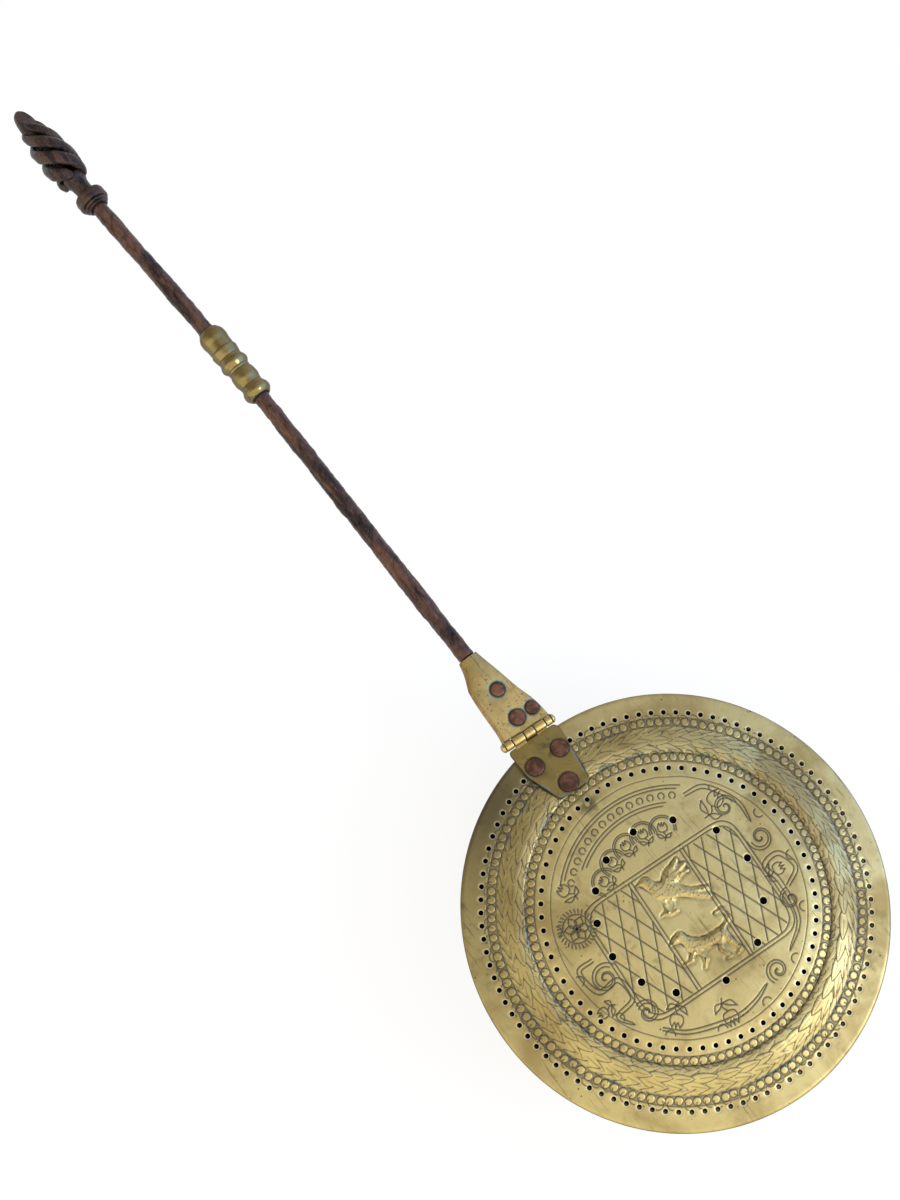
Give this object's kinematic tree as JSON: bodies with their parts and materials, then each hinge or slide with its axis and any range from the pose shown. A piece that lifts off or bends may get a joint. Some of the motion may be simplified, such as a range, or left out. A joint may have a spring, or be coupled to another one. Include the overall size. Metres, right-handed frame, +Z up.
{
  "type": "bed warming pan",
  "caption": "Round brass pan for embers under a pierced, embossed, hinged brass lid, on a long iron handle with a brass ferrule and a twisted openwork finial.",
  "frame": {"origin": "centre of the pan's flat base, on the surface it stands on", "axes": "+X along the handle, +Y to its left seen from the pan, +Z up through the lid"},
  "size_m": [0.9315, 0.3, 0.1048],
  "materials": {
    "lid_brass": "old embossed brass, dulled, with dark patina in the hollows",
    "pan_brass": "old sheet brass, dull, greyed on the flange",
    "hinge_brass": "worn engraved plate with verdigris round the rivets",
    "ferrule_brass": "turned and rubbed bright",
    "copper": "dull reddish-brown copper rivets",
    "iron": "wrought iron, brown rust worn to blue-black"
  },
  "bodies": {
    "pan": {"pan_bowl": "pan_brass", "hinge_pin": "hinge_brass", "socket_plate": "hinge_brass", "pan_rim_wire": "iron", "pan_bracket": "iron", "handle_lower_rod": "iron", "handle_upper_rod": "iron", "handle_ferrule": "ferrule_brass", "handle_collar": "iron", "finial_neck": "iron", "finial_tip": "iron", "socket_rivet_1": "copper", "socket_rivet_2": "copper", "socket_rivet_3": "copper", "bracket_rivet_1": "copper", "bracket_rivet_2": "copper", "finial_strand_1": "iron", "finial_strand_2": "iron", "finial_strand_3": "iron", "finial_strand_4": "iron"},
    "lid": {"lid_sheet": "lid_brass", "lid_hinge_leaf": "hinge_brass", "lid_rivet_1": "copper", "lid_rivet_2": "copper", "lid_rivet_3": "copper"}
  },
  "joints": [
    {"name": "lid_hinge", "type": "hinge", "parent": "pan", "child": "lid", "pos_m": [0.155, 0.0076, 0.09679], "axis": [0.0837, 0.9965, 0], "range_deg": [0, 165]}
  ]
}
